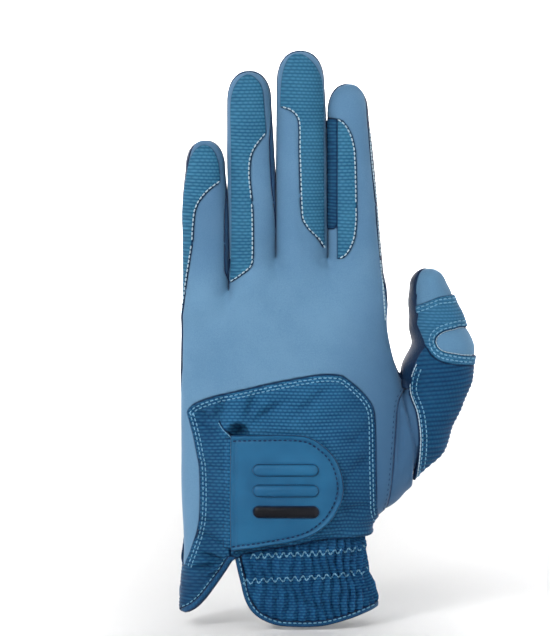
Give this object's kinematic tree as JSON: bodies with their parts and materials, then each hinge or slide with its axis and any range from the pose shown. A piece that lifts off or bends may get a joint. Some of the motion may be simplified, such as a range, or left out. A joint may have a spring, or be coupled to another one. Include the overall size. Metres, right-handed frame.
{
  "type": "golf glove",
  "caption": "Left-hand golf glove filled out as if worn, with ribbed leather and stretch knit panels, an elastic cuff, and a rubber tab that closes over the wrist slit.",
  "frame": {"origin": "middle of the wrist opening, level with the lowest point of the hem", "axes": "+Z from the wrist towards the fingertips, -Y out of the back of the hand, +X towards the thumb"},
  "size_m": [0.1242, 0.0515, 0.2402],
  "materials": {
    "stretch_knit": "fine smooth knit, matte with a soft sheen, blue",
    "ribbed_leather": "fine crosswise ribs, satin, deep blue",
    "palm_leather": "thin smooth grain, satin, deep blue",
    "cuff_knit": "gathered knit over elastic, matte, dark blue",
    "binding": "folded woven tape, matte, blue",
    "rubber": "smooth moulded, satin, blue",
    "dark_rubber": "smooth moulded, satin, near black",
    "hook_and_loop": "hook or loop pile, matte, dark blue",
    "label": "blank woven tape, matte, white"
  },
  "bodies": {
    "hand": {"back_panel": "stretch_knit", "cuff_back": "cuff_knit", "cuff_palm": "cuff_knit", "elastic_band_lower": "cuff_knit", "elastic_band_upper": "cuff_knit", "hem_binding_back": "binding", "hem_binding_palm": "binding", "loop_patch": "hook_and_loop", "palm_panel": "palm_leather", "size_label": "label", "thumb_gusset": "stretch_knit", "wrist_panel": "ribbed_leather"},
    "tab": {"grip_rib_dark": "dark_rubber", "grip_rib_middle": "rubber", "grip_rib_top": "rubber", "hook_patch": "hook_and_loop", "tab_cover": "rubber", "tab_strap": "ribbed_leather"},
    "little_lower": {"little_back_lower": "stretch_knit", "little_front_lower": "palm_leather", "little_side_left": "stretch_knit", "little_side_right": "stretch_knit"},
    "little_upper": {"little_back_upper": "ribbed_leather", "little_front_upper": "palm_leather", "little_side_over_tip": "stretch_knit"},
    "ring_lower": {"ring_back_lower_left": "ribbed_leather", "ring_back_lower_right": "stretch_knit", "ring_front_lower": "palm_leather", "ring_side_left": "stretch_knit", "ring_side_right": "stretch_knit"},
    "ring_upper": {"ring_back_upper": "ribbed_leather", "ring_front_upper": "palm_leather", "ring_side_over_tip": "stretch_knit"},
    "middle_lower": {"middle_back_lower_left": "stretch_knit", "middle_back_lower_right": "ribbed_leather", "middle_front_lower": "palm_leather", "middle_side_left": "stretch_knit", "middle_side_right": "stretch_knit"},
    "middle_upper": {"middle_back_upper": "ribbed_leather", "middle_front_upper": "palm_leather", "middle_side_over_tip": "stretch_knit"},
    "index_lower": {"index_back_lower_left": "ribbed_leather", "index_back_lower_right": "stretch_knit", "index_front_lower": "palm_leather", "index_side_left": "stretch_knit", "index_side_right": "stretch_knit"},
    "index_upper": {"index_back_upper": "stretch_knit", "index_front_upper": "palm_leather", "index_side_over_tip": "stretch_knit"},
    "thumb_base": {"thumb_back_lower": "ribbed_leather", "thumb_front_lower": "palm_leather"},
    "thumb_tip": {"thumb_front_upper": "palm_leather", "thumb_knuckle_patch": "stretch_knit", "thumb_strap": "ribbed_leather", "thumb_tip_cap": "stretch_knit"}
  },
  "joints": [
    {"name": "tab_open", "type": "hinge", "parent": "hand", "child": "tab", "pos_m": [-0.0206, -0.02049, 0.0545], "axis": [0, 0, -1], "range_deg": [0, 150]},
    {"name": "little_knuckle_bend", "type": "hinge", "parent": "hand", "child": "little_lower", "pos_m": [-0.0318, 0.004, 0.147], "axis": [-1, 0, 0.007], "range_deg": [0, 75]},
    {"name": "little_middle_bend", "type": "hinge", "parent": "little_lower", "child": "little_upper", "pos_m": [-0.03163, 0.004, 0.172], "axis": [-1, 0, 0.007], "range_deg": [0, 90]},
    {"name": "ring_knuckle_bend", "type": "hinge", "parent": "hand", "child": "ring_lower", "pos_m": [-0.0117, 0.004, 0.158], "axis": [-0.9999, 0, -0.0157], "range_deg": [0, 75]},
    {"name": "ring_middle_bend", "type": "hinge", "parent": "ring_lower", "child": "ring_upper", "pos_m": [-0.01225, 0.004, 0.193], "axis": [-0.9999, 0, -0.0157], "range_deg": [0, 90]},
    {"name": "middle_knuckle_bend", "type": "hinge", "parent": "hand", "child": "middle_lower", "pos_m": [0.0087, 0.004, 0.159], "axis": [-1, 0, -0.0052], "range_deg": [0, 75]},
    {"name": "middle_middle_bend", "type": "hinge", "parent": "middle_lower", "child": "middle_upper", "pos_m": [0.0085, 0.004, 0.198], "axis": [-1, 0, -0.0052], "range_deg": [0, 90]},
    {"name": "index_knuckle_bend", "type": "hinge", "parent": "hand", "child": "index_lower", "pos_m": [0.0306, 0.004, 0.159], "axis": [-0.9992, 0, -0.0401], "range_deg": [0, 75]},
    {"name": "index_middle_bend", "type": "hinge", "parent": "index_lower", "child": "index_upper", "pos_m": [0.02932, 0.004, 0.19097], "axis": [-0.9992, 0, -0.0401], "range_deg": [0, 90]},
    {"name": "thumb_base_bend", "type": "hinge", "parent": "hand", "child": "thumb_base", "pos_m": [0.0623, 0.0087, 0.0914], "axis": [-0.5586, -0.7978, 0.2268], "range_deg": [0, 30]},
    {"name": "thumb_tip_bend", "type": "hinge", "parent": "thumb_base", "child": "thumb_tip", "pos_m": [0.0697, 0.01, 0.1142], "axis": [-0.5689, -0.8124, 0.1279], "range_deg": [-20, 45]}
  ]
}
